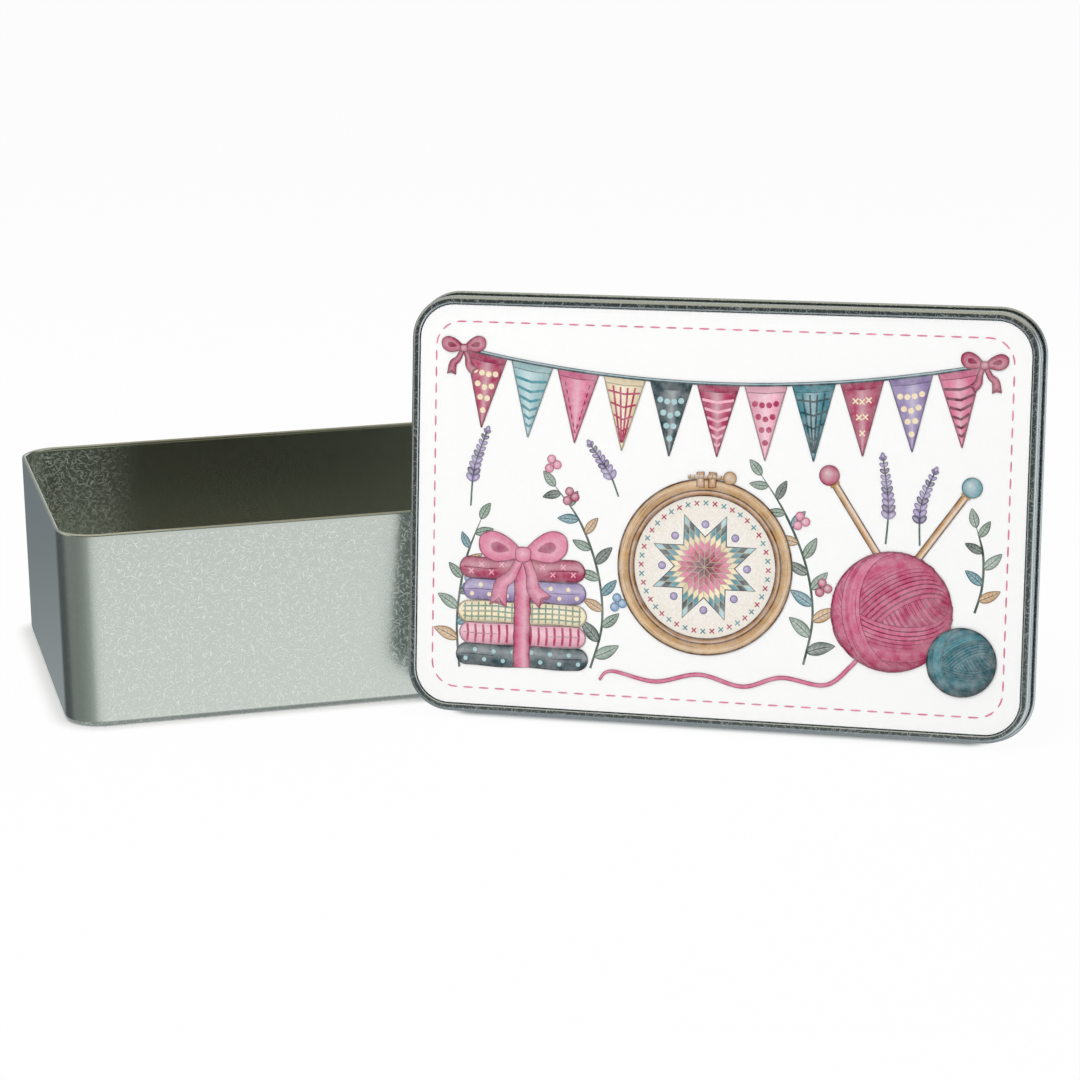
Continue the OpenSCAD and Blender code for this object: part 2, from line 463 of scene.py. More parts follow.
def paintTin():
    material, tree, where = newMaterial("tinplateSatin")
    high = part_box("tin_base")[1]
    spots = placeGroup(tree, flecks, Vector=where["Object"], Normal=where["Normal"],
                       Cell=tinplate["cell"])
    edge = fromTin(tree, where["Object"])
    place = splitNode(tree, where["Object"])
    along = mathNode(tree, "ABSOLUTE", place["X"])

    def fromEnds(zone, *share, **settings):
        start, end = (high.x - part for part in smoothing[zone])
        return rangeNode(tree, along, start, end, *share, **settings)

    shallow, deep = smoothing["face"]
    inner = product(tree, rangeNode(tree, edge, -deep, -shallow, 1.0, 0.0, smooth=False),
                    rangeNode(tree, place["Z"], shallow, deep, smooth=False))
    outer = mathNode(tree, "SUBTRACT", 1.0, inner)
    # inside the walls, away from the corners, and outside on the ends, the sheet is drawn smooth;
    # inside, away from the corners, it is also painted darker as shade
    overFloor = rangeNode(tree, place["Z"], *smoothing["insideFloor"], smoothing["floorShare"], 1.0)
    smoothShadedInside = product(tree, inner, fromEnds("insideEnds", 1.0, 0.0), overFloor)
    drawn = product(tree, outer, fromEnds("outsideEnds"))
    rolled = rangeNode(tree, place["Z"], *(high.z - part for part in smoothing["rim"]))
    turned = product(tree, rangeNode(tree, place["Z"], *smoothing["foot"], 1.0, 0.0), outer)
    smoothed = smoothShadedInside
    for part in (drawn, rolled, turned):
        smoothed = mathNode(tree, "MAXIMUM", smoothed, part)
    keep = rangeNode(tree, smoothed, 0.0, 1.0, 1.0, smoothing["kept"], smooth=False)
    fade = fromEnds("fadeEnds", smoothing["fadeShare"], 1.0, smooth=False)
    strength = mixNumbers(tree, outer, fade, tinplate["outside"])
    lost = tinplate["fleckScatter"]
    scatter = rangeNode(tree, outer, 0.0, 1.0, lost["inside"], lost["outside"], smooth=False)
    # painted shade: the inside, away from its ends, takes the darker colour
    sheet = mixColours(tree, smoothShadedInside, tinplate["sheet"], tinplate["smoothShadedInside"])
    finishMetal(tree, sheet, product(tree, spots, keep, strength), scatter)
    nodes["tin_base"].material_slots[0].material = material


def toLid(tree, vector, kind):
    # Turns a place or a normal into the lid's own frame
    back = lidMatrix.inverted()
    inputs = {"Vector": vector, "Rotation": back.to_euler("XYZ")}
    if kind == "POINT":
        inputs["Location"] = back.to_translation()
    return addNode(tree, "Mapping", inputs, vector_type=kind).outputs[0]


def paintLid():
    material, tree, where = newMaterial("lidTinplate")
    normal = toLid(tree, where["Normal"], "NORMAL")
    spots = placeGroup(tree, flecks, Vector=toLid(tree, where["Object"], "POINT"), Normal=normal,
                       Cell=tinplate["cell"])
    side = splitNode(tree, vectorNode(tree, "ABSOLUTE", normal)["Vector"])
    widest = mathNode(tree, "MAXIMUM", side["X"], side["Y"])
    squarely = mathNode(tree, "MAXIMUM", side["Z"], widest)
    keep = rangeNode(tree, squarely, *smoothing["lidFlat"], smoothing["lidKept"], tinplate["onLid"])
    finishMetal(tree, tinplate["lidSheet"], product(tree, spots, keep),
                tinplate["fleckScatter"]["onLid"])
    nodes["lid"].material_slots[0].material = material


# The panel's white coat and the film: plain colours with a fine grain

grainSpan = (0.3, 0.7)  # the stretch of a noise's values that counts
coats = {
    "print_panel": {"name": "panelWhite", "grain": 900.0, "roughness": (0.30, 0.36),
                    "colours": ((0.93, 0.93, 0.925, 1), (0.96, 0.96, 0.955, 1))},
    "panel_adhesive": {"name": "filmClear", "grain": 300.0, "roughness": 0.6,
                       "colours": (hexColour("D8D4C8"), hexColour("E6E3DA"))},
}


def paintCoat(piece):
    values = coats[piece]
    material, tree, where = newMaterial(values["name"])
    grain = noiseNode(tree, where["Object"], values["grain"], 3.0)
    rough = values["roughness"]
    if isinstance(rough, tuple):
        rough = rangeNode(tree, grain, *grainSpan, *rough)
    colour = mixColours(tree, grain, *values["colours"])
    finishPlain(tree, colour, rough)
    nodes[piece].material_slots[0].material = material


paintTin()
paintLid()
paintCoat("print_panel")
paintCoat("panel_adhesive")
print("metal, panel and film painted")

# The print: flat layers of ink, drawn in millimetres from the panel's middle

inkSheet = {
    "first": 0.020,  # height of the lowest layer over the panel, in millimetres
    "step": 0.012,  # from one layer to the next
    "attribute": "tint",
    "wash": {"scale": 260.0, "share": 0.16},  # how much of the colour the wash takes away at most
    "grain": {"scale": 1500.0, "strength": (0.88, 1.0)},  # the paper's fine mottle in the colour
    "roughness": (0.30, 0.38),
    "bases": {"printBorder": 0, "printSprays": 1, "printCloth": 13, "printHoop": 13,
              "printYarn": 13, "printBunting": 13},
}
chance = random.Random(11)


def buildInk():
    material, tree, where = newMaterial("printedInk")
    tint = addNode(tree, "VertexColor", {}, layer_name=inkSheet["attribute"]).outputs["Color"]
    wash, mottle = inkSheet["wash"], inkSheet["grain"]
    washed = noiseNode(tree, where["Object"], wash["scale"], 5.0, 0.65)
    washed = rangeNode(tree, washed, 0.32, 0.68, 0.0, wash["share"])
    colour = mixColours(tree, washed, tint, (1, 1, 1, 1))
    grain = noiseNode(tree, where["Object"], mottle["scale"], 2.0)
    strength = rangeNode(tree, grain, *grainSpan, *mottle["strength"], smooth=False)
    shade = addNode(tree, "CombineColor", dict.fromkeys(("Red", "Green", "Blue"), strength))
    colour = mixColours(tree, 1.0, colour, shade.outputs[0], "MULTIPLY")
    rough = rangeNode(tree, grain, *grainSpan, *inkSheet["roughness"])
    finishPlain(tree, colour, rough)
    return material


inkMaterial = buildInk()


ink = {
    "crimson": "B3265A", "rose": "DB6F95", "blush": "F0AFC2", "wine": "6E1536",
    "teal": "3F8E9B", "deepTeal": "26454D", "mist": "A9CDD1", "sage": "7F9C86", "moss": "44604F",
    "lavender": "9783B7", "plum": "57447A", "sky": "5E93BE", "cream": "F5E3BC", "tan": "D2A468",
    "wood": "B57E47", "umber": "5A3A22", "gold": "B98A3E",
}


def tintOf(value):
    # A tint is an ink's name, a hex colour or a finished colour
    return hexColour(ink.get(value, value)) if isinstance(value, str) else value


def blendTint(first, second, share):
    return tuple(a + (b - a) * share for a, b in zip(tintOf(first), tintOf(second)))


def darker(tint, share):
    return blendTint(tint, "1C1416", share)


def lighter(tint, share):
    return blendTint(tint, "FFFFFF", share)


def vary(tint, amount=0.08):
    shift = 1 + chance.uniform(-amount, amount)
    r, g, b, a = tintOf(tint)
    return (min(r * shift, 1), min(g * shift, 1), min(b * shift, 1), a)


def addFace(art, corners):
    spots = []
    for corner in corners:
        x, y, _ = art["points"][corner]
        if all(hypot(x - px, y - py) > 1e-3 for _, px, py in spots):
            spots.append((corner, x, y))
    if len(spots) < 3:
        return
    turns = zip(spots, spots[1:] + spots[:1])
    area = sum(x0 * y1 - x1 * y0 for (_, x0, y0), (_, x1, y1) in turns)
    if abs(area) < 1e-5:
        return
    face = [corner for corner, _, _ in spots]
    art["faces"].append(face if area > 0 else face[::-1])


def addRow(art, level, row, tint):
    start = len(art["points"])
    for i, (x, y) in enumerate(row):
        art["points"].append((x, y, level))
        art["tints"].append(tintOf(tint[i] if isinstance(tint, list) else tint))
    return start


def addStrip(art, level, rows, tints):
    starts = [addRow(art, level, row, tint) for row, tint in zip(rows, tints)]
    for a, b in zip(starts, starts[1:]):
        for i in range(len(rows[0]) - 1):
            addFace(art, (a + i, a + i + 1, b + i + 1, b + i))


def addFan(art, level, ring, middle, edgeTint, middleTint):
    start = addRow(art, level, ring, edgeTint)
    hub = addRow(art, level, [middle], middleTint)
    for i in range(len(ring)):
        addFace(art, (start + i, start + (i + 1) % len(ring), hub))


def sideways(path, closed=False):
    last = len(path) - 1
    out = []
    for i, (x, y) in enumerate(path):
        before = path[i - 1] if i > 0 else path[last - 1 if closed else 0]
        after = path[i + 1] if i < last else path[1 if closed else last]
        dx, dy = after[0] - before[0], after[1] - before[1]
        length = hypot(dx, dy) or 1
        out.append((-dy / length, dx / length))
    return out


def besidePath(path, halves, closed=False):
    # The two rows that run beside a path, at each point half a width to its left and right
    sides = sideways(path, closed)
    return [[(x + nx * half * side, y + ny * half * side)
             for (x, y), (nx, ny), half in zip(path, sides, halves)] for side in (1, -1)]


def addLine(art, level, path, width, tint, taper=(1, 1), closed=False):
    # Taper: the share of the width at the start and at the end, full after a quarter of the way
    if closed:
        path = path + [path[0]]
    halves = []
    for i in range(len(path)):
        share = i / max(len(path) - 1, 1)
        first, last = (t + (1 - t) * s * 4 for t, s in zip(taper, (share, 1 - share)))
        halves.append(width * min(1, first, last) / 2)
    addStrip(art, level, besidePath(path, halves, closed), (tint, tint))


def addEdges(art, level, rows, width, tint):
    for row in (rows[0], rows[-1]):
        addLine(art, level, row, width, tint)


def curveThrough(spots, perSpan=8, closed=False):
    count = len(spots)
    spans = count if closed else count - 1
    path = []
    for i in range(spans):
        near = [i - 1, i, i + 1, i + 2]
        near = [spots[k % count if closed else min(max(k, 0), count - 1)] for k in near]
        for j in range(perSpan):
            t = j / perSpan
            weights = (-t ** 3 + 2 * t ** 2 - t, 3 * t ** 3 - 5 * t ** 2 + 2,
                       -3 * t ** 3 + 4 * t ** 2 + t, t ** 3 - t ** 2)
            path.append(tuple(sum(w * spot[axis] for w, spot in zip(weights, near)) / 2
                              for axis in (0, 1)))
    if not closed:
        path.append(spots[-1])
    return path


def polar(centre, radius, angle):
    return (centre[0] + radius * cos(angle), centre[1] + radius * sin(angle))


def between(first, second, share):
    return tuple(a + (b - a) * share for a, b in zip(first, second))


def arcPath(centre, radius, start, end, count):
    angles = [radians(start + (end - start) * i / (count - 1)) for i in range(count)]
    return [polar(centre, radius, angle) for angle in angles]


def ringPath(centre, radius, count):
    return arcPath(centre, radius, 0, 360, count + 1)[:-1]


def evenPath(path, step):
    # The same path with its points at even steps
    out = [path[0]]
    need = step
    for (x0, y0), (x1, y1) in zip(path, path[1:]):
        length = hypot(x1 - x0, y1 - y0)
        while need <= length:
            out.append((x0 + (x1 - x0) * need / length, y0 + (y1 - y0) * need / length))
            need += step
        need -= length
    return out


def addStitches(art, level, path, dash, gap, width, tint):
    perStitch = 8
    spots = evenPath(path, (dash + gap) / perStitch)
    onCount = round(perStitch * dash / (dash + gap))
    for start in range(0, len(spots) - onCount, perStitch):
        addLine(art, level, spots[start:start + onCount + 1], width, vary(tint), (0.5, 0.5))


def addDisc(art, level, centre, radius, tint, glow, rim):
    ring = ringPath(centre, radius, 28)
    shine = (centre[0] - radius * 0.25, centre[1] + radius * 0.3)
    addFan(art, level, ring, shine, tint, lighter(tint, glow))
    addLine(art, level + 1, ring, max(radius * 0.09, 0.22), rim, closed=True)


def addDot(art, level, spot, radius, count, tint):
    addFan(art, level, ringPath(spot, radius, count), spot, tint, tint)


def addCross(art, level, centre, size, width, tint):
    x, y = centre
    addLine(art, level, [(x - size, y - size), (x + size, y + size)], width, tint)
    addLine(art, level + 1, [(x - size, y + size), (x + size, y - size)], width, tint)


def inkPiece(name, art):
    step = inkSheet["step"]
    lowest = panelHalf.z * 1000 + inkSheet["first"] + inkSheet["bases"][name] * step
    spots = [lidMatrix @ Vector((x / 1000, y / 1000, (lowest + level * step) / 1000))
             for x, y, level in art["points"]]
    mesh = bpy.data.meshes.new(name)
    mesh.from_pydata([tuple(s) for s in spots], [], art["faces"])
    layer = mesh.color_attributes.new(inkSheet["attribute"], "FLOAT_COLOR", "POINT")
    layer.data.foreach_set("color", [c for tint in art["tints"] for c in tint])
    used = bmesh.new()
    used.from_mesh(mesh)
    bmesh.ops.delete(used, geom=[v for v in used.verts if not v.link_faces], context="VERTS")
    used.to_mesh(mesh)
    used.free()
    mesh.materials.append(inkMaterial)
    piece = addObject(name, mesh)
    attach(piece, "lid")


# Running-stitch border

stitchBorder = {"inset": 5.2, "corner": 8.0, "dash": 3.3, "gap": 1.9, "width": 0.55,
                "tint": "rose"}


def drawBorder(art):
    values = stitchBorder
    halfX = panelHalf.x * 1000 - values["inset"]
    halfY = panelHalf.y * 1000 - values["inset"]
    corner = values["corner"]
    path = []
    for sx, sy, start in ((1, 1, 0), (-1, 1, 90), (-1, -1, 180), (1, -1, 270)):
        centre = (sx * (halfX - corner), sy * (halfY - corner))
        path += arcPath(centre, corner, start, start + 90, 9)
    path.append(path[0])
    addStitches(art, 0, path, *(values[k] for k in ("dash", "gap", "width", "tint")))


# Bunting across the top

bunting = {
    "ends": (-82, 82), "height": 50, "sag": 8.5, "length": 23.5, "share": 0.90,
    "lean": 0.55,  # how far a flag hangs square to the cord rather than straight down
    "dots": (0.24, 0.40, 0.56, 0.72),  # rows of marks, in shares of a flag's length
    "stripes": (0.22, 0.34, 0.46, 0.58, 0.70, 0.82),
    "checks": (0.2, 0.36, 0.52, 0.68),
    "crosses": ((0.3, 0.24), (0.5, 0.24), (0.7, 0.24), (0.37, 0.44), (0.63, 0.44), (0.5, 0.64)),
    "flags": (("crimson", "dots", "cream"), ("mist", "stripes", "teal"),
              ("rose", "plain", "wine"), ("cream", "checks", "crimson"),
              ("deepTeal", "dots", "mist"), ("crimson", "stripes", "blush"),
              ("blush", "dots", "crimson"), ("teal", "checks", "deepTeal"),
              ("crimson", "crosses", "cream"), ("lavender", "dots", "cream"),
              ("rose", "stripes", "wine")),
}


def buntingCord(share):
    first, last = bunting["ends"]
    return (first + (last - first) * share,
            bunting["height"] - bunting["sag"] * 4 * share * (1 - share))


def addFlag(art, left, right, length, cloth, pattern, accent):
    middle = ((left[0] + right[0]) / 2, (left[1] + right[1]) / 2)
    tip = (middle[0] + (right[1] - left[1]) * bunting["lean"], middle[1] - length)

    def across(u, t):
        # u runs from the left side to the right, t from the cord to the tip
        x0, y0 = between(left, right, u)
        pull = t + 0.06 * sin(pi * t) * (1 - 2 * abs(u - 0.5))
        return (x0 + (tip[0] - x0) * t, y0 + (tip[1] - y0) * min(pull, 1))

    def side(u):
        return [across(u, i / 12) for i in range(13)]

    fold = chance.uniform(0.35, 0.65)
    addStrip(art, 0, [side(u) for u in (0, fold * 0.5, fold, (1 + fold) / 2, 1)],
             (darker(cloth, 0.18), vary(cloth), lighter(cloth, 0.30), vary(cloth),
              darker(cloth, 0.25)))
    if pattern == "dots":
        for row, t in enumerate(bunting["dots"]):
            count = len(bunting["dots"]) - row
            for i in range(count):
                u = 0.5 + (i - (count - 1) / 2) / (count + 0.6)
                addDot(art, 1, across(u, t), 0.95, 12, accent)
    elif pattern == "crosses":
        for u, t in bunting["crosses"]:
            addCross(art, 1, across(u, t), 0.85, 0.45, accent)
    elif pattern == "plain":
        seam = [across(0.14, 0.16), across(0.5, 0.84), across(0.86, 0.16)]
        addStitches(art, 1, seam, 1.6, 1.0, 0.4, accent)
    else:
        for t in bunting[pattern]:
            path = [across(u, t) for u in (0.02, 0.25, 0.5, 0.75, 0.98)]
            if pattern == "stripes":
                addLine(art, 1, path, 0.85, vary(accent))
            else:
                addLine(art, 1, path, 0.6, accent)
    if pattern == "checks":
        for u in (0.2, 0.4, 0.6, 0.8):
            addLine(art, 2, [across(u, t / 8) for t in range(1, 8)], 0.6, accent)
    edge = darker(cloth, 0.6)
    addEdges(art, 3, (side(0), side(1)), 0.42, edge)
    hem = [[across(u / 6, t) for u in range(7)] for t in (0.0, 0.10)]
    addStrip(art, 3, hem, (darker(cloth, 0.35), darker(cloth, 0.15)))
    addLine(art, 4, hem[1], 0.3, edge)


def drawBunting(art):
    count = len(bunting["flags"])
    gap = (1 - bunting["share"]) / 2
    for i, (cloth, pattern, accent) in enumerate(bunting["flags"]):
        left = buntingCord((i + gap) / count)
        right = buntingCord((i + 1 - gap) / count)
        length = bunting["length"] * chance.uniform(0.96, 1.04)
        addFlag(art, left, right, length, cloth, pattern, accent)
    cord = [buntingCord(i / 90) for i in range(91)]
    addLine(art, 5, cord, 1.15, darker("deepTeal", 0.25))
    addLine(art, 6, [(x, y + 0.15) for x, y in cord], 0.4, lighter("teal", 0.35))
    for end, turn in ((0, 1), (1, -1)):
        addBow(art, 7, buntingCord(end), 0.62, "crimson", turn)


def addBow(art, level, centre, scale, cloth, turn=1):
    def put(spots):
        return [(centre[0] + x * scale * turn, centre[1] + y * scale) for x, y in spots]

    edge = darker(cloth, 0.6)
    tails = (((-0.5, -0.5), (-3.0, -5.5), (-5.6, -8.0), (-6.4, -13.5)),
             ((0.5, -0.5), (2.2, -5.0), (3.0, -9.0), (6.0, -12.0)))
    for tail in tails:
        middle = curveThrough(put(tail), 7)
        halves = [scale * (0.9 + 1.3 * i / (len(middle) - 1)) for i in range(len(middle))]
        left, right = besidePath(middle, halves)
        middle[-1] = middle[-4]  # the notch in the ribbon's end
        addStrip(art, level, (left, middle, right),
                 (darker(cloth, 0.1), lighter(cloth, 0.2), darker(cloth, 0.3)))
        addEdges(art, level + 1, (left, right), 0.3, edge)
        addLine(art, level + 1, [left[-1], middle[-1], right[-1]], 0.3, edge)
    loops = (((0, 0), (-3.5, 3.8), (-8.0, 5.6), (-11.3, 4.0), (-11.0, 0.2), (-7.5, -2.0),
              (-3.0, -1.4)),
             ((0, 0), (3.5, 4.2), (7.6, 6.2), (11.0, 4.9), (11.2, 1.0), (8.0, -1.7), (3.2, -1.3)))
    for loop in loops:
        ring = curveThrough(put(loop), 6, True)
        middle = put([[sum(spot[axis] for spot in loop) / len(loop) for axis in (0, 1)]])[0]
        addFan(art, level + 2, ring, middle, vary(cloth), lighter(cloth, 0.35))
        inner = [(middle[0] + (x - middle[0]) * 0.42, middle[1] + (y - middle[1]) * 0.36)
                 for x, y in ring]
        addFan(art, level + 3, inner, middle, darker(cloth, 0.30), darker(cloth, 0.5))
        addLine(art, level + 4, ring, 0.34, edge, closed=True)
        for k in (0.25, 0.45):
            crease = put([(loop[1][0] * k * 1.1, loop[1][1] * k),
                          (loop[2][0] * 0.72, loop[2][1] * (0.5 + k))])
            addLine(art, level + 4, crease, 0.25, darker(cloth, 0.4), (0.3, 0.1))
    knot = ((-1.7, -1.4), (-1.9, 1.2), (0, 1.9), (1.9, 1.2), (1.7, -1.4), (0, -1.9))
    knot = curveThrough(put(knot), 5, True)
    addFan(art, level + 5, knot, put([(0, 0.4)])[0], cloth, lighter(cloth, 0.4))
    addLine(art, level + 6, knot, 0.3, edge, closed=True)


# Embroidery hoop with an eight-pointed patchwork star

hoop = {
    "centre": (-3.0, -16.0), "cloth": 22.6, "inner": 24.2, "outer": 27.6, "star": 17.6,
    "stitchRing": 20.2, "stitches": 44, "rays": 8, "rows": 4,
    "buds": 1.42,  # how far out the buds between the rays stand, in sides of a patch
    "bands": ("wine", "crimson", "rose", "cream", "teal", "deepTeal", "mist"),
}


def drawHoop(art):
    centre = hoop["centre"]
    rim = ringPath(centre, hoop["cloth"] + 0.6, 72)
    addFan(art, 0, rim, centre, hexColour("EFE7DA"), hexColour("FFFDF8"))
    addHoopStar(art, centre)
    for i in range(hoop["stitches"]):
        spot = polar(centre, hoop["stitchRing"], 2 * pi * i / hoop["stitches"])
        addCross(art, 1, spot, 0.72, 0.38, vary(("crimson", "teal")[i % 2]))
    addWood(art, hoop["cloth"], hoop["inner"], "wood")
    addWood(art, hoop["inner"] + 0.1, hoop["outer"], "tan")
    for radius, width in ((hoop["cloth"], 0.45), (hoop["inner"], 0.4), (hoop["outer"], 0.5)):
        addLine(art, 8, ringPath(centre, radius, 96), width, darker("umber", 0.1), closed=True)
    addClamp(art, 9, (centre[0], centre[1] + hoop["outer"] - 1.2))


def addHoopStar(art, centre):
    # Each ray is a rhombus of patches, between two sides that start at the centre
    half = pi / hoop["rays"]
    side = hoop["star"] / (2 * cos(half))
    count = hoop["rows"]
    for ray in range(hoop["rays"]):
        angle = 2 * half * ray + half
        first = polar((0, 0), side, angle - half)
        second = polar((0, 0), side, angle + half)

        def spot(i, j):
            return tuple(c + (a * i + b * j) / count for c, a, b in zip(centre, first, second))

        for i in range(count):
            for j in range(count):
                tint = vary(hoop["bands"][i + j], 0.14)
                patch = [[spot(i, k), spot(i + 1, k)] for k in (j, j + 1)]
                addStrip(art, 1, patch, (tint, lighter(tint, 0.16)))
        for i in range(count + 1):
            addLine(art, 2, [spot(i, 0), spot(i, count)], 0.2, darker("cream", 0.45))
            addLine(art, 3, [spot(0, i), spot(count, i)], 0.2, darker("cream", 0.45))
        edge = [spot(count, 0), spot(count, count), spot(0, count)]
        addLine(art, 4, edge, 0.34, darker("deepTeal", 0.3))
        bud = polar(centre, side * hoop["buds"], angle - half)
        addDisc(art, 1, bud, 1.15, "lavender", 0.35, "plum")


def addWood(art, inside, outside, wood):
    steps = 120
    grain = [0.5 + 0.5 * sin(i * 0.53) * sin(i * 0.21 + 1) for i in range(steps)]
    rows, tints = [], []
    for share, shade in ((0.0, 0.30), (0.35, 0.0), (0.65, -0.35), (1.0, 0.22)):
        radius = inside + (outside - inside) * share
        rows.append(ringPath(hoop["centre"], radius, steps))
        toward = "FFF3DC" if shade < 0 else "umber"
        tints.append([blendTint(blendTint(wood, "umber", 0.22 * g), toward, abs(shade))
                      for g in grain])
    rows = [row + [row[0]] for row in rows]
    tints = [row + [row[0]] for row in tints]
    addStrip(art, 5, rows, tints)
    streak = blendTint("umber", wood, 0.35)
    for i in range(26):
        start = chance.uniform(0, 360)
        radius = inside + (outside - inside) * chance.uniform(0.15, 0.85)
        path = arcPath(hoop["centre"], radius, start, start + chance.uniform(8, 24), 9)
        addLine(art, 6, path, 0.16, streak, (0.1, 0.1))


def addClamp(art, level, centre):
    x, y = centre
    edge = darker("umber", 0.3)
    for side in (-1, 1):
        lug = ((0.7, -1.4), (3.0, -1.2), (3.1, 3.4), (0.8, 3.6))
        lug = [(x + side * dx, y + dy) for dx, dy in lug]
        addFan(art, level, lug, (x + side * 1.9, y + 1), "wood", lighter("tan", 0.3))
        addLine(art, level + 1, lug, 0.32, edge, closed=True)
    bar = [(x - 6.0, y + 1.3), (x + 6.4, y + 1.3)]
    low = [(x - 6.0, y + 2.5), (x + 6.4, y + 2.5)]
    addStrip(art, level + 2, (bar, low), (darker("gold", 0.35), lighter("gold", 0.5)))
    for i in range(9):
        place = x - 5.4 + i * 1.4
        thread = [(place, y + 1.2), (place + 0.35, y + 2.6)]
        addLine(art, level + 3, thread, 0.22, darker("gold", 0.6))
    addDisc(art, level + 4, (x + 7.4, y + 1.9), 2.0, "gold", 0.5, darker("gold", 0.6))


# Balls of yarn with a pair of knitting needles

yarn = {
    "balls": (((56, -27), 18.6, "rose", "crimson"),
              ((78, -41.5), 10.6, "teal", "deepTeal")),
    "needles": ((((35.5, 14.5), (70, -38)), "crimson"),
                (((79.5, 12.5), (44, -38)), "teal")),
    "tail": ((46.5, -41), (44, -44.5), (36, -51), (22, -49.5), (10, -53),
             (-4, -50), (-18, -53), (-32, -50.5), (-36, -53.5)),
    # a ball's windings: tilt and dip in degrees, and how much of the ball they cover
    "wraps": ((28, 24, 1), (-52, 30, 0.50), (80, 34, 0.36), (8, 44, 0.24)),
}


def addNeedle(art, level, path, knob):
    (x0, y0), (x1, y1) = path
    length = hypot(x1 - x0, y1 - y0)
    nx, ny = -(y1 - y0) / length, (x1 - x0) / length
    spots = [(x0 + (x1 - x0) * i / 24, y0 + (y1 - y0) * i / 24) for i in range(25)]
    half = [1.05 if i < 20 else 1.05 * (1 - (i - 20) / 4.5) for i in range(25)]
    rows = [[(x + nx * h * k, y + ny * h * k) for (x, y), h in zip(spots, half)]
            for k in (-1, -0.2, 0.4, 1)]
    shades = (darker("wood", 0.35), "tan", lighter("tan", 0.55), "wood")
    addStrip(art, level, rows, shades)
    addEdges(art, level + 1, rows, 0.32, "umber")
    addDisc(art, level + 2, (x0, y0), 3.1, knob, 0.55, darker(knob, 0.55))
    x, y = x0 + (x1 - x0) / length * 3.2, y0 + (y1 - y0) / length * 3.2
    collar = [(x + nx * half, y + ny * half) for half in (-1.6, 1.6)]
    addLine(art, level + 2, collar, 1.0, "gold")


def addBall(art, level, centre, radius, light, dark):
    ring = ringPath(centre, radius, 64)
    shine = (centre[0] - radius * 0.3, centre[1] + radius * 0.35)
    addFan(art, level, ring, shine, darker(dark, 0.25), light)
    spacing = radius / 12.5
    for order, (tilt, dip, reach) in enumerate(yarn["wraps"]):
        turn, lean = radians(tilt), radians(dip)
        axis = Vector((cos(turn) * cos(lean), sin(turn) * cos(lean), sin(lean)))
        first = Vector((-sin(turn), cos(turn), 0))
        second = axis.cross(first)
        count = int(reach * 12.4)
        for k in range(-count, count + 1):
            offset = k * spacing
            around = sqrt(max(radius ** 2 - offset ** 2, 0)) * 0.99
            path, tints = [], []
            tone = blendTint(light, dark, 0.6 * chance.random())
            for i in range(49):
                a = radians(-90 + 7.5 * i)
                spot = axis * offset + (first * cos(a) + second * sin(a)) * around
                if spot.z > 0.03 * radius:
                    path.append((centre[0] + spot.x, centre[1] + spot.y))
                    lit = (spot.z - 0.4 * spot.x + 0.5 * spot.y) / radius
                    lit = min(max(0.30 + 0.70 * lit, 0), 1)
                    tints.append(blendTint(darker(dark, 0.08), tone, lit))
            if len(path) < 4:
                continue
            layer = level + 1 + 2 * order
            addLine(art, layer, path, spacing * 1.04, darker(dark, 0.48), (0.7, 0.7))
            addLine(art, layer + 1, path, spacing * 0.70, tints, (0.6, 0.6))
    addLine(art, level + 9, ring, 0.5, darker(dark, 0.5), closed=True)


def drawYarn(art):
    for i, (path, knob) in enumerate(yarn["needles"]):
        addNeedle(art, i * 3, path, knob)
    for i, (centre, radius, light, dark) in enumerate(yarn["balls"]):
        addBall(art, 7 + 10 * i, centre, radius, light, dark)
    tail = curveThrough(list(yarn["tail"]), 12)
    addLine(art, 5, tail, 1.35, darker("crimson", 0.3), (1, 0.6))
    addLine(art, 6, tail, 0.85, "rose", (1, 0.6))


# Folded cloth tied with a ribbon

clothStack = {
    "middle": -61.5, "bottom": -51, "layer": 7,
    "cloths": (("deepTeal", "dots", "mist", 21.5), ("blush", "stripes", "crimson", 20.6),
               ("cream", "checks", "sage", 21), ("lavender", "dots", "cream", 20),
               ("crimson", "crosses", "blush", 20.4)),
    "ribbon": 2.6,
}


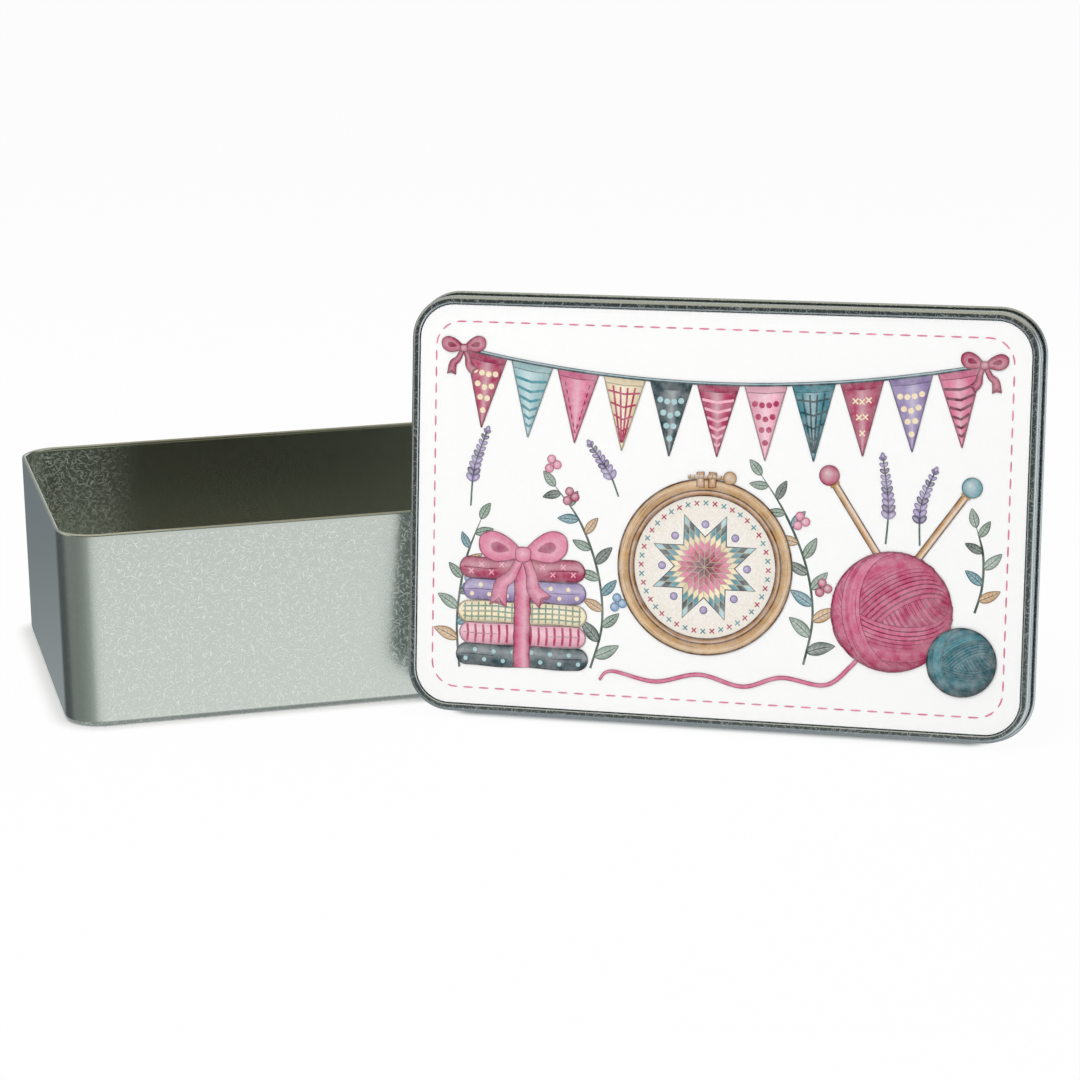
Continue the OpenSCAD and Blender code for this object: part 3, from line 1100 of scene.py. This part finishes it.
def drawCloth(art):
    count = 40
    bottom, layer, ribbon = (clothStack[k] for k in ("bottom", "layer", "ribbon"))
    for order, (cloth, pattern, accent, half) in enumerate(clothStack["cloths"]):
        low = bottom + order * layer
        middle = clothStack["middle"] + chance.uniform(-0.7, 0.7)
        fold = layer / 2 * 0.97

        def edge(u, side):
            # u runs from the left end to the right, side from the lower face (-1) to the upper (1)
            away = half * (1 - abs(2 * u - 1))
            swell = sqrt(max(1 - (1 - min(away / fold, 1)) ** 2, 0))
            ripple = 0.18 * sin(u * 14 + order * 2)
            return (middle + half * (2 * u - 1), low + fold + side * fold * swell + ripple * swell)

        def line(side):
            shares = [0.5 - 0.5 * cos(pi * i / count) for i in range(count + 1)]
            return [edge(share, side) for share in shares]

        addStrip(art, 0, (line(-1), line(-0.45), line(0.35), line(1)),
                 (darker(cloth, 0.35), vary(cloth), lighter(cloth, 0.25), darker(cloth, 0.12)))
        if pattern == "dots":
            for i in range(13):
                spot = edge(0.07 + i * 0.0717, (-0.45, 0.4)[i % 2])
                addDot(art, 1, spot, 0.72, 10, accent)
        elif pattern == "stripes":
            for i in range(15):
                u = 0.06 + i * 0.063
                stripe = [edge(u, -0.86), edge(u + 0.006, 0), edge(u, 0.86)]
                addLine(art, 1, stripe, 0.75, vary(accent))
        elif pattern == "checks":
            for i in range(18):
                u = 0.055 + i * 0.0525
                addLine(art, 1, [edge(u, -0.88), edge(u, 0.88)], 0.5, accent)
            for side in (-0.5, 0.0, 0.5):
                path = [edge(0.04 + i * 0.0383, side) for i in range(25)]
                addLine(art, 2, path, 0.5, accent)
        else:
            for i in range(11):
                spot = edge(0.09 + i * 0.082, (-0.35, 0.35)[i % 2])
                addCross(art, 1, spot, 0.75, 0.4, accent)
        ring = line(-1) + line(1)[::-1][1:-1]
        addLine(art, 3, ring, 0.42, darker(cloth, 0.62), closed=True)
        crease = [edge(0.03 + i * 0.037, 0.0) for i in range(26)]
        addLine(art, 3, crease[:9], 0.3, darker(cloth, 0.45), (1, 0.1))
        addLine(art, 3, crease[-8:], 0.3, darker(cloth, 0.45), (0.1, 1))
    top = bottom + len(clothStack["cloths"]) * layer
    rows = [[(clothStack["middle"] + k * ribbon + 0.12 * sin(i * 1.3),
              bottom + (top - bottom) * i / 30) for i in range(31)] for k in (-1, -0.3, 0.3, 1)]
    addStrip(art, 4, rows, ("crimson", "rose", lighter("rose", 0.25), "crimson"))
    addEdges(art, 5, rows, 0.35, "wine")
    addBow(art, 6, (clothStack["middle"], top + 1.2), 1.25, "rose")


# Leaf sprays, lavender and berries

spray = {
    "leafy": (((-39, -50), (-35.5, -36), (-37, -20), (-43, -4), (-52, 8)),
              ((29, -45), (31.5, -30), (29, -14), (22, 2), (14, 14)),
              ((-82, -52), (-83, -36), (-80.5, -18), (-75.5, -4)),
              ((81.5, -26), (83.5, -18), (83.5, -8), (81, 1))),
    "lavender": (((-31, 5), (-34, 12), (-40, 20.5)),
                 ((-79, 0), (-78, 12), (-74, 24)),
                 ((53.5, -6), (54, 6), (52, 20)),
                 ((64, -6), (64, 6), (68, 17))),
    "berries": ((-47.5, 3), (-31.5, -30), (26, -1.5), (33.5, -22), (-80, -26),
                (-53.5, 13)),
    "leaf": 8.6,
    "leafEvery": 5,  # steps of a millimetre along the stem from one leaf to the next
    "leafTurn": 0.95,  # angle between a leaf and its stem
    "leafTints": ("sage", "moss", "sage", "tan", "teal"),
    "petal": 3,
    "petalTurn": 0.75,
    "petalTints": ("lavender", "plum", "lavender"),
    "berry": 1.35,
    "berryTints": ("crimson", "sky", "rose"),
}


def addLeaf(art, level, root, heading, length, width, tint):
    steps = 12
    curl = chance.uniform(-0.35, 0.35)
    middle = [root]
    x, y = root
    for i in range(steps):
        a = heading + curl * i / steps
        x += cos(a) * length / steps
        y += sin(a) * length / steps
        middle.append((x, y))
    halves = [width / 2 * sin(pi * (i / steps) ** 0.8) ** 0.85 for i in range(1, steps)]
    left, right = besidePath(middle, [0, *halves, 0])
    pale = lighter(tint, chance.uniform(0.30, 0.5))
    addStrip(art, level, (left, middle, right), (vary(tint), pale, darker(tint, 0.18)))
    edge = darker(tint, 0.62)
    addEdges(art, level + 1, (left, right), 0.3, edge)
    addLine(art, level + 1, middle[:-1], 0.32, edge, (1, 0.2))
    for i in (3, 5, 7, 9):
        for row in (left, right):
            vein = [middle[i], between(middle[i], row[i + 2], 0.75)]
            addLine(art, level + 1, vein, 0.16, darker(tint, 0.4))


def headingAt(path, i, j):
    (x0, y0), (x1, y1) = path[i], path[j]
    return atan2(y1 - y0, x1 - x0)


def drawSprays(art):
    for number, stem in enumerate(spray["leafy"]):
        path = evenPath(curveThrough(list(stem), 10), 1.0)
        addLine(art, 0, path, 0.75, darker("moss", 0.2), (1, 0.3))
        for order, i in enumerate(range(4, len(path) - 2, spray["leafEvery"])):
            heading = headingAt(path, i - 1, i + 1) + (1 if order % 2 else -1) * spray["leafTurn"]
            size = spray["leaf"] * (1 - 0.35 * i / len(path)) * chance.uniform(0.88, 1.1)
            tint = spray["leafTints"][(order + number) % len(spray["leafTints"])]
            addLeaf(art, 1 + (order % 2) * 2, path[i], heading, size, size * 0.42, tint)
        addLeaf(art, 1, path[-1], headingAt(path, -3, -1), spray["leaf"] * 0.7, 2.8, "sage")
    for stem in spray["lavender"]:
        path = evenPath(curveThrough(list(stem), 10), 1.0)
        addLine(art, 5, path, 0.55, "moss")
        start = int(len(path) * 0.32)
        for i in range(start, len(path), 2):
            size = spray["petal"] * (1 - 0.5 * (i - start) / (len(path) - start))
            for side in (-1, 1):
                heading = headingAt(path, i - 1, i) + side * spray["petalTurn"]
                addPetal(art, path[i], heading, size, size * 0.55, spray["petalTints"][i % 3])
        addPetal(art, path[-1], headingAt(path, i - 1, i), 2.4, 1.3, "lavender")
    for i, (x, y) in enumerate(spray["berries"]):
        tint = spray["berryTints"][i % 3]
        for dx, dy in ((0, 0), (2.5, 1.2), (0.7, 2.9)):
            addDisc(art, 9, (x + dx, y + dy), spray["berry"], tint, 0.5, darker(tint, 0.5))


def addPetal(art, root, heading, length, width, tint):
    ring = []
    for i in range(14):
        a = 2 * pi * i / 14
        along = length / 2 * (1 - cos(a))
        across = width / 2 * sin(a)
        ring.append((root[0] + along * cos(heading) - across * sin(heading),
                     root[1] + along * sin(heading) + across * cos(heading)))
    middle = polar(root, length / 2, heading)
    addFan(art, 6, ring, middle, vary(tint), lighter(tint, 0.4))
    addLine(art, 7, ring, 0.2, darker(tint, 0.5), closed=True)


for name, draw in (("printBorder", drawBorder), ("printSprays", drawSprays),
                   ("printCloth", drawCloth), ("printHoop", drawHoop),
                   ("printYarn", drawYarn), ("printBunting", drawBunting)):
    art = {"points": [], "faces": [], "tints": []}
    draw(art)
    inkPiece(name, art)
print("print drawn on the panel")
